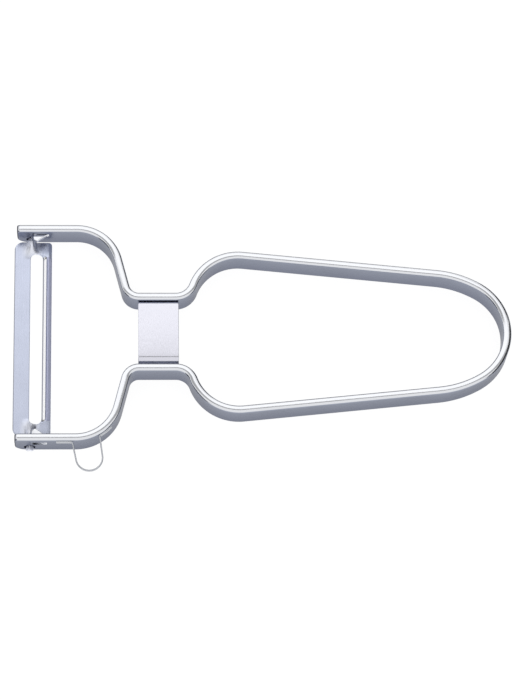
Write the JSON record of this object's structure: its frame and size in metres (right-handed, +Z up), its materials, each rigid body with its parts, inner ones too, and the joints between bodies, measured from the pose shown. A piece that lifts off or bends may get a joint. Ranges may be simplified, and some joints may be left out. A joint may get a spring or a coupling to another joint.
{
  "type": "vegetable peeler",
  "caption": "Swivel vegetable peeler bent from polished flat steel strip, with a slotted blade that rocks between its arms, an open handle loop, a plate across the waist and a side eye remover.",
  "frame": {"origin": "bottom centre of the box round the whole peeler as it lies flat", "axes": "+X from the blade towards the end of the handle, +Y across the head away from the eye remover, +Z up from the surface it lies on; the plate and the eye remover sit near the upper edge"},
  "size_m": [0.1292, 0.0682, 0.008],
  "materials": {
    "polished_strip": "polished",
    "satin_plate": "satin",
    "blade_steel": "fine ground",
    "ribbon_steel": "polished"
  },
  "bodies": {
    "frame": {"handle_frame": "polished_strip", "waist_plate": "satin_plate", "eye_remover": "ribbon_steel"},
    "blade": {"swivel_blade": "blade_steel"}
  },
  "joints": [
    {"name": "blade_swivel", "type": "hinge", "parent": "frame", "child": "blade", "pos_m": [-0.0601, 0.0035, 0.00265], "axis": [0, 1, 0], "range_deg": [-34, 96]}
  ]
}
